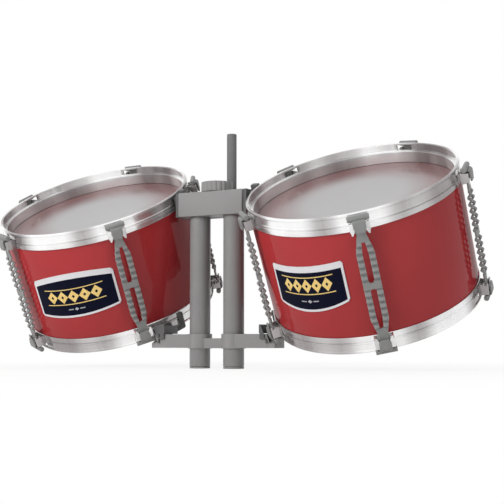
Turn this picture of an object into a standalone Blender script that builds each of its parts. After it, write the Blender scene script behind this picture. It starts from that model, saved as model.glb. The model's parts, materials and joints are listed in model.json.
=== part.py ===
"""Two small tom drums on a twin-tube mount, with the stem of a cymbal rising behind the mount block.

Metres, +Z up. The origin is midway between the lower ends of the two posts, +X runs from the left drum
to the right one as the player's side is seen, and +Y points away from the player.
"""

import math

import bmesh
import bpy
from mathutils import Matrix, Vector

# Running and seating clearances
FIT = 0.0003
STRAP_PLAY = 0.0005
BORE_PLAY = 0.0004
FOUND = 0.00001

# Round pieces: facets in a full turn
DRUM_STEPS = 40
POST_STEPS = 24
SMALL_STEPS = 16
CRADLE_STEPS = 6

# Drum: shell, heads and hoops
SHELL_RADIUS = 0.1062
SHELL_WALL = 0.0024
BEARING_EDGE = 0.0010
DRUM_HEIGHT = 0.1400
RIM_WALL = 0.0032
RIM_OVERHANG = 0.0013
RIM_BEAD = 0.0012
HOOP_HEIGHT = 0.0175
HOOP_LIP_HEIGHT = 0.0066
HOOP_WAIST_DEPTH = 0.0008
HOOP_LAP = 0.0009
LEDGE_DEPTH = 0.0050
LEDGE_TOP = 0.0078
HEAD_RIM_HEIGHT = 0.0012
HEAD_FILM = 0.0006
HEAD_DROP = 0.0200

# Tension straps and the ears they hook over
LUG_COUNT = 5
EAR_REACH = 0.0096
EAR_WIDTH = 0.0190
EAR_WALL = 0.0018
EAR_TOP_DROP = 0.0065
EAR_BOTTOM_DROP = 0.0158
EAR_PRONG = 0.0026
EAR_PRONG_ROOT = 0.0046
EAR_PRONG_TIP = 0.0015
WINDOW_WIDTH = 0.0186
WINDOW_TOP_DROP = 0.0018
STRAP_THICKNESS = 0.0016
STRAP_TAB_WIDTH = 0.0120
STRAP_BAR_WIDTH = 0.0205
STRAP_NECK_WIDTH = 0.0088
STRAP_MID_WIDTH = 0.0172
STRAP_FLARE = 0.0190
STRAP_BAR_RADIUS = 0.0027
STRAP_BAR_TOP = -0.0003
STRAP_BAR_INSET = 0.0004
STRAP_NECK_DROP = 0.0185
STRAP_TAB_DROP = 0.0145
STRAP_HOOK_LENGTH = 0.0160
STRAP_SLOT_WIDTH = 0.0055
STRAP_SLOT_START = 0.0275
STRAP_LINK_HEIGHT = 0.0065
STRAP_WAVE = 0.0014
STRAP_WAVE_COUNT = 6
STRAP_WAVE_STEPS = 4

# Name plate stuck to each shell, halfway between two straps, as an angle round the shell
BADGE_THICKNESS = 0.0006
BADGE_HEIGHT = 0.0405
BADGE_RAISED = {"left": -0.0020, "right": 0.0040}
BADGE_TURN = {"left": math.radians(2.5), "right": math.radians(1.2)}
BADGE_HALF_ANGLE = {"left": math.radians(26.6), "right": math.radians(22.5)}
BADGE_RISE = {"left": 0.0070, "right": 0.0050}
BADGE_TOP_BOW = {"left": 0.0060, "right": -0.0020}
BADGE_BOTTOM_BOW = {"left": 0.0040, "right": 0.0085}
BADGE_COLUMNS = 10

# Stance of the drums
DRUM_TILT = math.radians(28.0)
DRUM_TOE = math.radians(1.84)
DRUM_SETBACK = -0.0070
RIM_ABOVE_BLOCK = 0.0029
FRONT_LUG_ANGLE = {"left": math.radians(-47.4), "right": math.radians(-65.0)}

# Posts and mount block
POST_DIAMETER = 0.0220
POST_WALL = 0.0015
POST_SPACING = 0.0410
POST_SOCKET_ROOF = 0.0040
PLUG_FLANGE = 0.0020
PLUG_STEM = 0.0100
BLOCK_LENGTH = 0.0780
BLOCK_DEPTH = 0.0320
BLOCK_HEIGHT = 0.0259
BLOCK_TOP = 0.1866
BLOCK_EDGE = 0.0012

# Clamp knob and its stud
KNOB_RADIUS = 0.0169
KNOB_HEIGHT = 0.0104
KNOB_FLUTES = 20
KNOB_FLUTE_DEPTH = 0.0009
STUD_RADIUS = 0.0040
STUD_IN_BLOCK = 0.0110
STUD_IN_KNOB = 0.0060

# Cymbal rod behind the block, and its lock screw
ROD_RADIUS = 0.0053
ROD_X = 0.00445
ROD_Y = 0.0240
ROD_TOP = 0.2533
ROD_LENGTH = 0.1560
BOSS_WALL = 0.0045
BOSS_HEIGHT = 0.0200
LOCK_SCREW_RADIUS = 0.0025
LOCK_HEAD_RADIUS = 0.0070
LOCK_HEAD_LENGTH = 0.0080
LOCK_GAP = 0.0020

# Clips that hold the hoops
CLIP_REACH = 0.0106
CLIP_PLATE = 0.0040
CLIP_PLATE_DEPTH = 0.0280
CLIP_WIDTH = 0.0160
CLIP_COVER = 0.0025
CLIP_LEG = 0.0026
CLIP_LEG_DROP = 0.0040
CLIP_JAW_DROP = 0.0030
CLIP_CAP_RISE = 0.0010
CLIP_SCREW_RADIUS = 0.0020
CLIP_SCREW_HEAD_RADIUS = 0.0032
CLIP_SCREW_HEAD = 0.0024
CLIP_SCREW_TO_POST = 0.0025
CLIP_SCREW_RISE = 0.0036

# Lower bracket and the cradles on its arms
BRACKET_BELOW_HOOP = 0.0039
ARM_HEIGHT = 0.0151
ARM_DEPTH = 0.0220
ARM_PAST_HOOP = 0.0098
COLLAR_RADIUS = 0.0130
LINK_HEIGHT = 0.0105
LINK_DEPTH = 0.0170
CRADLE_ANGLE = math.radians(-30.5)
CRADLE_HALF_ANGLE = math.radians(8.5)
CRADLE_WALL = 0.0030
CRADLE_RISE = 0.0016
CLAW_ANGLE = math.radians(-22.5)
CLAW_HALF_ANGLE = math.radians(1.5)
CLAW_INSET = 0.0004
CLAW_RISE = 0.0160
SADDLE_LENGTH = 0.0130
SADDLE_INSET = 0.0040
SADDLE_HEIGHT = 0.0090
SADDLE_BACK = 0.0140
PRONG_THICKNESS = 0.0020
PRONG_WIDTHS = (0.0057, 0.0052)
PRONG_DROPS = (0.0097, 0.0054)
PRONG_GAP = 0.0012
PRONG_WEB = 0.0020
BRACKET_SCREW_RADIUS = 0.0018
BRACKET_SCREW_HEAD_RADIUS = 0.0034
BRACKET_SCREW_HEAD = 0.0020
BRACKET_SCREW_DEPTH = 0.0050

# Room left round an ear and its hook where a bracket passes them
EAR_ROOM = 0.0012

# Worked out from the sizes above
RIM_RADIUS = SHELL_RADIUS + RIM_OVERHANG
EAR_WALL_INSIDE = SHELL_RADIUS + EAR_REACH
EAR_WALL_OUTSIDE = EAR_WALL_INSIDE + EAR_WALL
LUG_STEP = math.tau / LUG_COUNT
SHELL_TOP = -(HOOP_HEIGHT - HOOP_LAP)
HEAD_BOTTOM = SHELL_TOP + FIT
HEAD_TOP = HEAD_BOTTOM + HEAD_RIM_HEIGHT
LEDGE_BOTTOM = HEAD_TOP + FIT
COLLAR_OUTSIDE = SHELL_RADIUS - SHELL_WALL - FIT
COLLAR_INSIDE = COLLAR_OUTSIDE - HEAD_FILM
FLANGE_OUTSIDE = COLLAR_INSIDE - FIT
FLANGE_BOTTOM = FIT - HEAD_DROP
STRAP_INSIDE = EAR_WALL_INSIDE - STRAP_PLAY - STRAP_THICKNESS / 2
STRAP_OUTSIDE = EAR_WALL_OUTSIDE + STRAP_PLAY + STRAP_THICKNESS / 2
STRAP_CURL_RADIUS = (STRAP_OUTSIDE - STRAP_INSIDE) / 2
STRAP_CURL_ROOM = (STRAP_CURL_RADIUS - STRAP_THICKNESS / 2) * math.cos(math.pi / 8)
STRAP_CURL_CENTRE = FIT - EAR_TOP_DROP - math.sqrt(STRAP_CURL_ROOM**2 - (EAR_WALL / 2) ** 2)
POST_RADIUS = POST_DIAMETER / 2
BLOCK_BOTTOM = BLOCK_TOP - BLOCK_HEIGHT
BLOCK_MIDDLE = (BLOCK_TOP + BLOCK_BOTTOM) / 2
CLIP_SCREW_DEPTH = BLOCK_LENGTH / 2 - POST_SPACING / 2 - POST_RADIUS - CLIP_SCREW_TO_POST
DRUM_SPACING = BLOCK_LENGTH / 2 + CLIP_REACH + RIM_RADIUS
RIM_CENTRE_HEIGHT = BLOCK_TOP + RIM_ABOVE_BLOCK
CRADLE_INWARD = RIM_RADIUS * (1 - math.cos(CRADLE_ANGLE))
CRADLE_HEIGHT = (
    RIM_CENTRE_HEIGHT
    + RIM_RADIUS * math.sin(CRADLE_ANGLE) * math.sin(DRUM_TILT)
    - DRUM_HEIGHT * math.cos(DRUM_TILT)
)
BRACKET_TOP = CRADLE_HEIGHT - BRACKET_BELOW_HOOP
ARM_BOTTOM = BRACKET_TOP - ARM_HEIGHT
ARM_REACH = BLOCK_LENGTH / 2 + CLIP_REACH + CRADLE_INWARD + ARM_PAST_HOOP
SIDES = {"left": -1, "right": 1}


def collection(name):
    made = bpy.data.collections.new(name)
    bpy.context.scene.collection.children.link(made)
    return made


def material(name, colour, roughness, metallic=0.0):
    made = bpy.data.materials.new(name)
    made.use_nodes = True
    shader = made.node_tree.nodes["Principled BSDF"]
    shader.inputs["Base Color"].default_value = (*colour, 1.0)
    shader.inputs["Roughness"].default_value = roughness
    shader.inputs["Metallic"].default_value = metallic
    made.diffuse_color = (*colour, 1.0)
    return made


def clear_scene():
    for obj in list(bpy.data.objects):
        bpy.data.objects.remove(obj, do_unlink=True)


clear_scene()
PARTS = collection("twin_tom_drums")
CUTTERS = collection("cutters")
RED = material("red_wrap", (0.42, 0.032, 0.038), 0.22)
SILVER = material("silver_hoop", (0.62, 0.63, 0.63), 0.22, 0.9)
FILM = material("drum_head", (0.60, 0.60, 0.61), 0.42)
STRAP_GREY = material("strap_grey", (0.19, 0.20, 0.195), 0.48)
STAND_GREY = material("stand_grey", (0.33, 0.325, 0.325), 0.42)
CLIP_GREY = material("clip_grey", (0.075, 0.075, 0.075), 0.5)
ROD_GREY = material("rod_grey", (0.26, 0.26, 0.26), 0.3, 0.6)
SCREW_STEEL = material("screw_steel", (0.45, 0.45, 0.46), 0.35, 1.0)
BADGE_NAVY = material("badge_navy", (0.006, 0.007, 0.02), 0.3)


def new_object(name, mesh, where=None, surface=None):
    obj = bpy.data.objects.new(name, mesh)
    (where or PARTS).objects.link(obj)
    if surface and not mesh.materials:
        mesh.materials.append(surface)
    return obj


def helper(obj):
    """Keeps a cutting or joining shape out of the renders."""
    for place in list(obj.users_collection):
        place.objects.unlink(obj)
    CUTTERS.objects.link(obj)
    obj.hide_render = True
    obj.display_type = "WIRE"
    return obj


def mesh_of(bm, name):
    mesh = bpy.data.meshes.new(name)
    bm.to_mesh(mesh)
    bm.free()
    return mesh


def box(name, low, high, surface=None):
    """A box between two corners."""
    low, high = Vector(low), Vector(high)
    bm = bmesh.new()
    bmesh.ops.create_cube(bm, size=1.0)
    bmesh.ops.scale(bm, vec=high - low, verts=bm.verts)
    bmesh.ops.translate(bm, vec=(low + high) / 2, verts=bm.verts)
    return new_object(name, mesh_of(bm, name), surface=surface)


def cylinder(name, radius, start, end, steps=SMALL_STEPS, surface=None):
    """A round bar from start to end."""
    start, end = Vector(start), Vector(end)
    bm = bmesh.new()
    bmesh.ops.create_cone(
        bm, cap_ends=True, segments=steps, radius1=radius, radius2=radius, depth=(end - start).length
    )
    turn = Vector((0, 0, 1)).rotation_difference(end - start).to_matrix().to_4x4()
    bm.transform(Matrix.Translation((start + end) / 2) @ turn)
    return new_object(name, mesh_of(bm, name), surface=surface)


def turned(name, profile, steps, surface=None):
    """A solid turned about Z from a closed profile of (radius, height), given clockwise."""
    mesh = bpy.data.meshes.new(name)
    count = len(profile)
    edges = [(i, (i + 1) % count) for i in range(count)]
    if profile[0][0] == 0 and profile[-1][0] == 0:
        edges.pop()
    mesh.from_pydata([(r, 0, z) for r, z in profile], edges, [])
    obj = new_object(name, mesh, surface=surface)
    screw = obj.modifiers.new("turn", "SCREW")
    screw.axis = "Z"
    screw.steps = steps
    screw.render_steps = steps
    screw.use_merge_vertices = True
    screw.merge_threshold = FOUND
    screw.use_smooth_shade = True
    return obj


def plate(name, outline, low, high, surface=None):
    """A flat outline of (x, y) drawn as a filled curve and given its thickness from low to high."""
    curve = bpy.data.curves.new(name, "CURVE")
    curve.dimensions = "2D"
    curve.fill_mode = "BOTH"
    curve.extrude = (high - low) / 2
    spline = curve.splines.new("POLY")
    spline.points.add(len(outline) - 1)
    for point, (x, y) in zip(spline.points, outline):
        point.co = (x, y, 0, 1)
    spline.use_cyclic_u = True
    drawn = new_object(name + "_curve", curve)
    made = new_object(name, evaluated_mesh(drawn, name), surface=surface)
    bpy.data.objects.remove(drawn, do_unlink=True)
    made.data.transform(Matrix.Translation((0, 0, (low + high) / 2)))
    return made


def evaluated_mesh(obj, name):
    """The finished mesh of an object, with its loose caps joined on."""
    bpy.context.view_layer.update()
    graph = bpy.context.evaluated_depsgraph_get()
    mesh = bpy.data.meshes.new_from_object(obj.evaluated_get(graph), depsgraph=graph)
    mesh.name = name
    bm = bmesh.new()
    bm.from_mesh(mesh)
    bmesh.ops.remove_doubles(bm, verts=bm.verts, dist=FOUND)
    bmesh.ops.recalc_face_normals(bm, faces=bm.faces)
    bm.to_mesh(mesh)
    bm.free()
    return mesh


def combine(obj, other, operation):
    step = obj.modifiers.new(operation.lower(), "BOOLEAN")
    step.operation = operation
    step.solver = "EXACT"
    step.object = helper(other)
    return obj


def join(obj, other):
    return combine(obj, other, "UNION")


def cut(obj, other):
    return combine(obj, other, "DIFFERENCE")


def round_edges(obj, width, segments=2):
    bevel = obj.modifiers.new("edges", "BEVEL")
    bevel.width = width
    bevel.segments = segments
    bevel.limit_method = "ANGLE"
    return obj


def smooth(obj, angle=math.radians(35)):
    obj.data.shade_smooth()
    obj.data.set_sharp_from_angle(angle=angle)
    return obj


def joined_copies(name, source, turns):
    """One mesh with a copy of the source at each turn about Z."""
    bm = bmesh.new()
    for turn in turns:
        copy = bmesh.new()
        copy.from_mesh(source.data)
        copy.transform(Matrix.Rotation(turn, 4, "Z"))
        part = mesh_of(copy, name + "_copy")
        bm.from_mesh(part)
        bpy.data.meshes.remove(part)
    made = new_object(name, mesh_of(bm, name))
    bpy.data.objects.remove(source, do_unlink=True)
    return made


def lug_turns():
    return [LUG_STEP * number for number in range(LUG_COUNT)]


def drum_axes(side):
    """The drum's axis, and the two directions across it: level towards +X, and up the slope."""
    sign = SIDES[side]
    lean = Vector((-sign * math.sin(DRUM_TOE), -math.cos(DRUM_TOE), 0))
    axis = math.sin(DRUM_TILT) * lean + math.cos(DRUM_TILT) * Vector((0, 0, 1))
    level = lean.cross(axis).normalized()
    if level.x < 0:
        level.negate()
    return axis, level, axis.cross(level)


def rim_centre(side):
    return Vector((SIDES[side] * DRUM_SPACING, DRUM_SETBACK, RIM_CENTRE_HEIGHT))


def drum_matrix(side):
    """Drum space: origin at the centre of the batter rim, Z up the axis, X towards the front strap."""
    axis, level, slope = drum_axes(side)
    turn = FRONT_LUG_ANGLE[side]
    forward = math.cos(turn) * level + math.sin(turn) * slope
    rows = Matrix((forward, axis.cross(forward), axis)).transposed().to_4x4()
    return Matrix.Translation(rim_centre(side)) @ rows


def drum_frame(side):
    frame = bpy.data.objects.new(side + "_drum_frame", None)
    PARTS.objects.link(frame)
    frame.matrix_world = drum_matrix(side)
    return frame


def put_on(frame, obj, local=None):
    """Hangs a piece that is built in drum space on the drum's frame."""
    obj.parent = frame
    obj.matrix_local = local or Matrix()
    return obj


def resonant_side():
    """Turns a piece over, end for end, about the front strap's direction."""
    return Matrix.Translation((0, 0, -DRUM_HEIGHT)) @ Matrix.Rotation(math.pi, 4, "X")


def hoop_profile():
    bead = RIM_BEAD
    waist = RIM_RADIUS - HOOP_WAIST_DEPTH
    lip_inside = SHELL_RADIUS + FIT
    ledge = SHELL_RADIUS - LEDGE_DEPTH
    inside = RIM_RADIUS - RIM_WALL
    lip_top = HOOP_LIP_HEIGHT - HOOP_HEIGHT
    return [
        (inside, 0),
        (RIM_RADIUS - bead, 0),
        (RIM_RADIUS, -bead),
        (RIM_RADIUS, -2 * bead),
        (waist, -3 * bead),
        (waist, lip_top),
        (RIM_RADIUS, lip_top - HOOP_WAIST_DEPTH),
        (RIM_RADIUS, -HOOP_HEIGHT),
        (lip_inside, -HOOP_HEIGHT),
        (lip_inside, LEDGE_BOTTOM),
        (FLANGE_OUTSIDE, LEDGE_BOTTOM),
        (FLANGE_OUTSIDE, FLANGE_BOTTOM),
        (ledge, FLANGE_BOTTOM),
        (ledge, -LEDGE_TOP),
        (inside, -LEDGE_TOP + bead / 2),
    ]


def ear_outline():
    half = EAR_WIDTH / 2
    pocket = half - EAR_WALL
    return [
        (SHELL_RADIUS, -half),
        (EAR_WALL_OUTSIDE, -half),
        (EAR_WALL_OUTSIDE, half),
        (SHELL_RADIUS, half),
        (SHELL_RADIUS, pocket),
        (EAR_WALL_INSIDE, pocket),
        (EAR_WALL_INSIDE, -pocket),
        (SHELL_RADIUS, -pocket),
    ]


def ear_prongs():
    """The two points below an ear's outer wall, drawn in (across, height) and stood up at the wall."""
    bottom = EAR_BOTTOM_DROP + EAR_PRONG
    edge = EAR_WIDTH / 2 - 2 * FIT
    lip = EAR_BOTTOM_DROP - 2 * FIT
    root = EAR_BOTTOM_DROP - EAR_PRONG
    inner = edge - EAR_PRONG_ROOT
    tip = edge - (EAR_PRONG_ROOT - EAR_PRONG_TIP) / 3
    half = [(inner, -lip), (tip - EAR_PRONG_TIP, -bottom), (tip, -bottom), (edge, -lip), (edge, -root)]
    outline = [(-across, height) for across, height in reversed(half)] + half
    made = plate("ear_prongs", outline, -EAR_WALL / 2 + FIT / 2, EAR_WALL / 2 - FIT / 2)
    stand = Matrix(((0, 0, 1, 0), (1, 0, 0, 0), (0, 1, 0, 0), (0, 0, 0, 1)))
    middle = (EAR_WALL_INSIDE + EAR_WALL_OUTSIDE) / 2
    made.data.transform(Matrix.Translation((middle, 0, 0)) @ stand)
    return made


def hoop_mesh():
    """The hoop with its ears, made once and used four times."""
    ring = turned("hoop", hoop_profile(), DRUM_STEPS, SILVER)
    window = box(
        "window",
        (RIM_RADIUS - 2 * RIM_WALL, -WINDOW_WIDTH / 2, FIT - LEDGE_TOP),
        (RIM_RADIUS + RIM_WALL, WINDOW_WIDTH / 2, -WINDOW_TOP_DROP),
    )
    cut(ring, joined_copies("windows", window, lug_turns()))
    ear = plate("ear", ear_outline(), -EAR_BOTTOM_DROP, -EAR_TOP_DROP)
    join(ring, joined_copies("ears", ear, lug_turns()))
    join(ring, joined_copies("all_ear_prongs", ear_prongs(), lug_turns()))
    mesh = evaluated_mesh(ring, "hoop")
    for obj in [ring] + [step.object for step in ring.modifiers if step.type == "BOOLEAN"]:
        bpy.data.objects.remove(obj, do_unlink=True)
    return mesh


def shell(side):
    inside = SHELL_RADIUS - SHELL_WALL
    bottom = -DRUM_HEIGHT - SHELL_TOP
    return turned(
        side + "_shell",
        [
            (SHELL_RADIUS - BEARING_EDGE / 2, SHELL_TOP),
            (SHELL_RADIUS, SHELL_TOP - BEARING_EDGE / 2),
            (SHELL_RADIUS, bottom + BEARING_EDGE / 2),
            (SHELL_RADIUS - BEARING_EDGE / 2, bottom),
            (inside + BEARING_EDGE, bottom),
            (inside, bottom + BEARING_EDGE),
            (inside, SHELL_TOP - BEARING_EDGE),
            (inside + BEARING_EDGE, SHELL_TOP),
        ],
        DRUM_STEPS,
        RED,
    )


def head(name):
    """A dished film: its rim lies on the shell's edge, and its collar goes down inside the shell."""
    outside = SHELL_RADIUS - FIT
    return turned(
        name,
        [
            (0, -HEAD_DROP),
            (COLLAR_INSIDE, -HEAD_DROP),
            (COLLAR_INSIDE, HEAD_TOP),
            (outside, HEAD_TOP),
            (outside, HEAD_BOTTOM),
            (COLLAR_OUTSIDE, HEAD_BOTTOM),
            (COLLAR_OUTSIDE, -HEAD_DROP - HEAD_FILM),
            (0, -HEAD_DROP - HEAD_FILM),
        ],
        DRUM_STEPS,
        FILM,
    )


def strap_hook_rows():
    """(radius, height, half width) from the tip of the upper hook, over the ear's wall, to the neck."""
    wide = STRAP_TAB_WIDTH / 2
    neck = STRAP_NECK_WIDTH / 2
    rows = [
        (STRAP_OUTSIDE, -STRAP_HOOK_LENGTH, wide * 0.7),
        (STRAP_OUTSIDE, -STRAP_HOOK_LENGTH + wide * 0.8, wide),
    ]
    middle = (STRAP_OUTSIDE + STRAP_INSIDE) / 2
    for number in range(5):
        turn = math.pi * number / 4
        rows.append(
            (
                middle + STRAP_CURL_RADIUS * math.cos(turn),
                STRAP_CURL_CENTRE + STRAP_CURL_RADIUS * math.sin(turn),
                wide,
            )
        )
    rows.append((STRAP_INSIDE, -STRAP_TAB_DROP, wide))
    rows.append((STRAP_INSIDE, -STRAP_NECK_DROP, neck))
    return rows


def strap_ladder_rows():
    """(height, half width, half slot, wave) down the upper slot, whose two legs bow out and in."""
    top = -STRAP_SLOT_START
    end = (STRAP_LINK_HEIGHT - DRUM_HEIGHT) / 2
    neck_height = -STRAP_NECK_DROP
    count = round(STRAP_WAVE_COUNT * STRAP_WAVE_STEPS)
    rows = []
    for number in range(count + 1):
        share = number / count
        height = top + (end - top) * share
        grown = min(1, (neck_height - height) / STRAP_FLARE)
        half = (STRAP_NECK_WIDTH + (STRAP_MID_WIDTH - STRAP_NECK_WIDTH) * grown) / 2
        slot = STRAP_SLOT_WIDTH / 2 * min(1, (number + 1) / 3)
        wave = STRAP_WAVE * math.sin(math.tau * STRAP_WAVE_COUNT * share)
        rows.append((height, half, slot, wave))
    return rows


def strap_sheet():
    """The strap as an open sheet: a hook, two wavy legs, a cross link, and the same again upside down."""
    bm = bmesh.new()
    hook = [
        [bm.verts.new((r, y, z)) for y in (-half, half)] for r, z, half in strap_hook_rows()
    ]
    ladder = [
        [
            bm.verts.new((STRAP_INSIDE + wave, y, z))
            for y in (-half, -slot, slot, half)
        ]
        for z, half, slot, wave in strap_ladder_rows()
    ]
    for above, below in zip(hook, hook[1:]):
        bm.faces.new((above[0], below[0], below[1], above[1]))
    bm.faces.new((hook[-1][0], *ladder[0], hook[-1][1]))
    for above, below in zip(ladder, ladder[1:]):
        bm.faces.new((above[0], below[0], below[1], above[1]))
        bm.faces.new((above[2], below[2], below[3], above[3]))
    last = ladder[-1]
    middle = -DRUM_HEIGHT / 2
    half = STRAP_MID_WIDTH / 2
    waist = [bm.verts.new((STRAP_INSIDE, y, middle)) for y in (-half, half)]
    bm.faces.new((*reversed(last), waist[0], waist[1]))
    copied = bmesh.ops.duplicate(bm, geom=bm.verts[:] + bm.edges[:] + bm.faces[:])["geom"]
    turned_over = [item for item in copied if isinstance(item, bmesh.types.BMVert)]
    for vert in turned_over:
        vert.co.z = -DRUM_HEIGHT - vert.co.z
    bmesh.ops.reverse_faces(bm, faces=[item for item in copied if isinstance(item, bmesh.types.BMFace)])
    bmesh.ops.remove_doubles(bm, verts=bm.verts, dist=FOUND)
    bmesh.ops.recalc_face_normals(bm, faces=bm.faces)
    return mesh_of(bm, "strap")


def strap_mesh():
    """The strap with its thickness and a round bar across the top of each hook, made once for all ten."""
    obj = new_object("strap", strap_sheet(), surface=STRAP_GREY)
    thick = obj.modifiers.new("thickness", "SOLIDIFY")
    thick.thickness = STRAP_THICKNESS
    thick.offset = 0
    thick.use_even_offset = True
    across = STRAP_BAR_WIDTH / 2
    middle = STRAP_INSIDE - STRAP_BAR_INSET
    upper = STRAP_BAR_TOP - STRAP_BAR_RADIUS
    for height in (upper, -DRUM_HEIGHT - upper):
        ends = ((middle, -across, height), (middle, across, height))
        join(obj, cylinder("strap_bar", STRAP_BAR_RADIUS, *ends))
    mesh = evaluated_mesh(obj, "strap")
    for part in [obj] + [step.object for step in obj.modifiers if step.type == "BOOLEAN"]:
        bpy.data.objects.remove(part, do_unlink=True)
    return mesh


def badge(side):
    """A thin label bent round the shell, halfway between the front strap and the next one."""
    radius = SHELL_RADIUS + FIT + BADGE_THICKNESS / 2
    middle = BADGE_TURN[side] - LUG_STEP / 2
    reach = BADGE_HALF_ANGLE[side]
    bm = bmesh.new()
    columns = []
    for number in range(BADGE_COLUMNS + 1):
        across = 2 * number / BADGE_COLUMNS - 1
        turn = middle + reach * across
        bow = 1 - across * across
        line = BADGE_RAISED[side] - DRUM_HEIGHT / 2 + BADGE_RISE[side] * across / 2
        top = line + BADGE_HEIGHT / 2 + BADGE_TOP_BOW[side] * bow
        low = line - BADGE_HEIGHT / 2 - BADGE_BOTTOM_BOW[side] * bow
        x, y = radius * math.cos(turn), radius * math.sin(turn)
        columns.append([bm.verts.new((x, y, z)) for z in (top, low)])
    for one, other in zip(columns, columns[1:]):
        bm.faces.new((one[0], one[1], other[1], other[0]))
    mesh = mesh_of(bm, side + "_badge")
    obj = new_object(side + "_badge", mesh, surface=BADGE_NAVY)
    thick = obj.modifiers.new("thickness", "SOLIDIFY")
    thick.thickness = BADGE_THICKNESS
    thick.offset = 0
    thick.use_even_offset = True
    return obj


def drum(side, frame, hoop_data, strap_data):
    put_on(frame, shell(side))
    for end, local in (("batter", Matrix()), ("resonant", resonant_side())):
        put_on(frame, new_object(side + "_" + end + "_hoop", hoop_data), local)
        put_on(frame, head(side + "_" + end + "_head"), local)
    for number, turn in enumerate(lug_turns(), 1):
        name = side + "_strap_" + str(number)
        put_on(frame, new_object(name, strap_data), Matrix.Rotation(turn, 4, "Z"))
    put_on(frame, badge(side))


def hoop_room(name, frame, local):
    """What a clip must leave free: the hoop with its clearance, and the drum inside and below it."""
    leg_inside = RIM_RADIUS - RIM_WALL - FIT
    below = -DRUM_HEIGHT / 2
    room = turned(
        name,
        [
            (0, -CLIP_LEG_DROP),
            (leg_inside, -CLIP_LEG_DROP),
            (leg_inside, FIT),
            (RIM_RADIUS + FIT, FIT),
            (RIM_RADIUS + FIT, -HOOP_HEIGHT - FIT),
            (SHELL_RADIUS + FIT, -HOOP_HEIGHT - FIT),
            (SHELL_RADIUS + FIT, below),
            (0, below),
        ],
        DRUM_STEPS,
    )
    return put_on(frame, room, local)


def ear_room(name, frame, local, past=0.0, beside=0.0):
    """What a bracket must leave free round each ear and its strap, and past its bar and beside it."""
    half = EAR_WIDTH / 2 + EAR_ROOM + beside
    outside = STRAP_OUTSIDE + STRAP_THICKNESS / 2 + EAR_ROOM + 2 * beside
    top = STRAP_BAR_TOP + EAR_ROOM + past
    low = -STRAP_NECK_DROP - EAR_ROOM
    one = box("ear_room", (SHELL_RADIUS, -half, low), (outside, half, top))
    return put_on(frame, joined_copies(name, one, lug_turns()), local)


def post(side):
    """A tube with its end plug, standing from the floor of the part up into the block."""
    sign = SIDES[side]
    x = sign * POST_SPACING / 2
    bore = POST_RADIUS - POST_WALL
    bottom = PLUG_FLANGE + FIT
    top = BLOCK_TOP - POST_SOCKET_ROOF - FIT
    tube = turned(
        side + "_post",
        [(POST_RADIUS, top), (POST_RADIUS, bottom), (bore, bottom), (bore, top)],
        POST_STEPS,
        STAND_GREY,
    )
    tube.location.x = x
    screw_height = BRACKET_TOP - ARM_HEIGHT / 2
    hole = cylinder(
        side + "_post_hole",
        BRACKET_SCREW_RADIUS + BORE_PLAY,
        (x, POST_RADIUS / 2, screw_height),
        (x, 2 * POST_RADIUS, screw_height),
    )
    cut(tube, hole)
    stem = bore - FIT
    plug = turned(
        side + "_post_plug",
        [
            (0, PLUG_FLANGE + PLUG_STEM),
            (stem, PLUG_FLANGE + PLUG_STEM),
            (stem, PLUG_FLANGE),
            (POST_RADIUS, PLUG_FLANGE),
            (POST_RADIUS, 0),
            (0, 0),
        ],
        POST_STEPS,
        CLIP_GREY,
    )
    plug.location.x = x


def boss_outline(radius):
    """The block's outline behind its middle: straight out of the block and round about the rod."""
    points = [(ROD_X + radius, BLOCK_DEPTH / 2 - BLOCK_EDGE * 2)]
    for number in range(SMALL_STEPS // 2 + 1):
        turn = math.tau * number / SMALL_STEPS
        points.append((ROD_X + radius * math.cos(turn), ROD_Y + radius * math.sin(turn)))
    points.append((ROD_X - radius, BLOCK_DEPTH / 2 - BLOCK_EDGE * 2))
    return points


def mount_block():
    block = box(
        "mount_block",
        (-BLOCK_LENGTH / 2, -BLOCK_DEPTH / 2, BLOCK_BOTTOM),
        (BLOCK_LENGTH / 2, BLOCK_DEPTH / 2, BLOCK_TOP),
        STAND_GREY,
    )
    round_edges(block, BLOCK_EDGE)
    bore = ROD_RADIUS + BORE_PLAY
    boss_radius = bore + BOSS_WALL
    low, high = BLOCK_MIDDLE - BOSS_HEIGHT / 2, BLOCK_MIDDLE + BOSS_HEIGHT / 2
    join(block, plate("rod_boss", boss_outline(boss_radius), low, high))
    for side, sign in SIDES.items():
        x = sign * POST_SPACING / 2
        socket = (x, 0, BLOCK_TOP - POST_SOCKET_ROOF)
        cut(
            block,
            cylinder(side + "_socket", POST_RADIUS + FIT, (x, 0, 0), socket, POST_STEPS),
        )
        outside = sign * BLOCK_LENGTH
        inside = sign * (BLOCK_LENGTH / 2 - CLIP_SCREW_DEPTH - FIT)
        height = BLOCK_BOTTOM + CLIP_SCREW_RISE
        cut(
            block,
            cylinder(
                side + "_clip_screw_hole",
                CLIP_SCREW_RADIUS + FIT,
                (outside, 0, height),
                (inside, 0, height),
            ),
        )
    cut(block, cylinder("rod_bore", bore, (ROD_X, ROD_Y, 0), (ROD_X, ROD_Y, ROD_TOP), POST_STEPS))
    cut(
        block,
        cylinder(
            "lock_screw_hole",
            LOCK_SCREW_RADIUS + FIT,
            (ROD_X, ROD_Y, BLOCK_MIDDLE),
            (ROD_X, ROD_Y + 2 * boss_radius, BLOCK_MIDDLE),
        ),
    )
    cut(
        block,
        cylinder(
            "stud_hole",
            STUD_RADIUS + FIT,
            (0, 0, BLOCK_TOP - STUD_IN_BLOCK - FIT),
            (0, 0, BLOCK_TOP + STUD_IN_BLOCK),
        ),
    )


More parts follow.
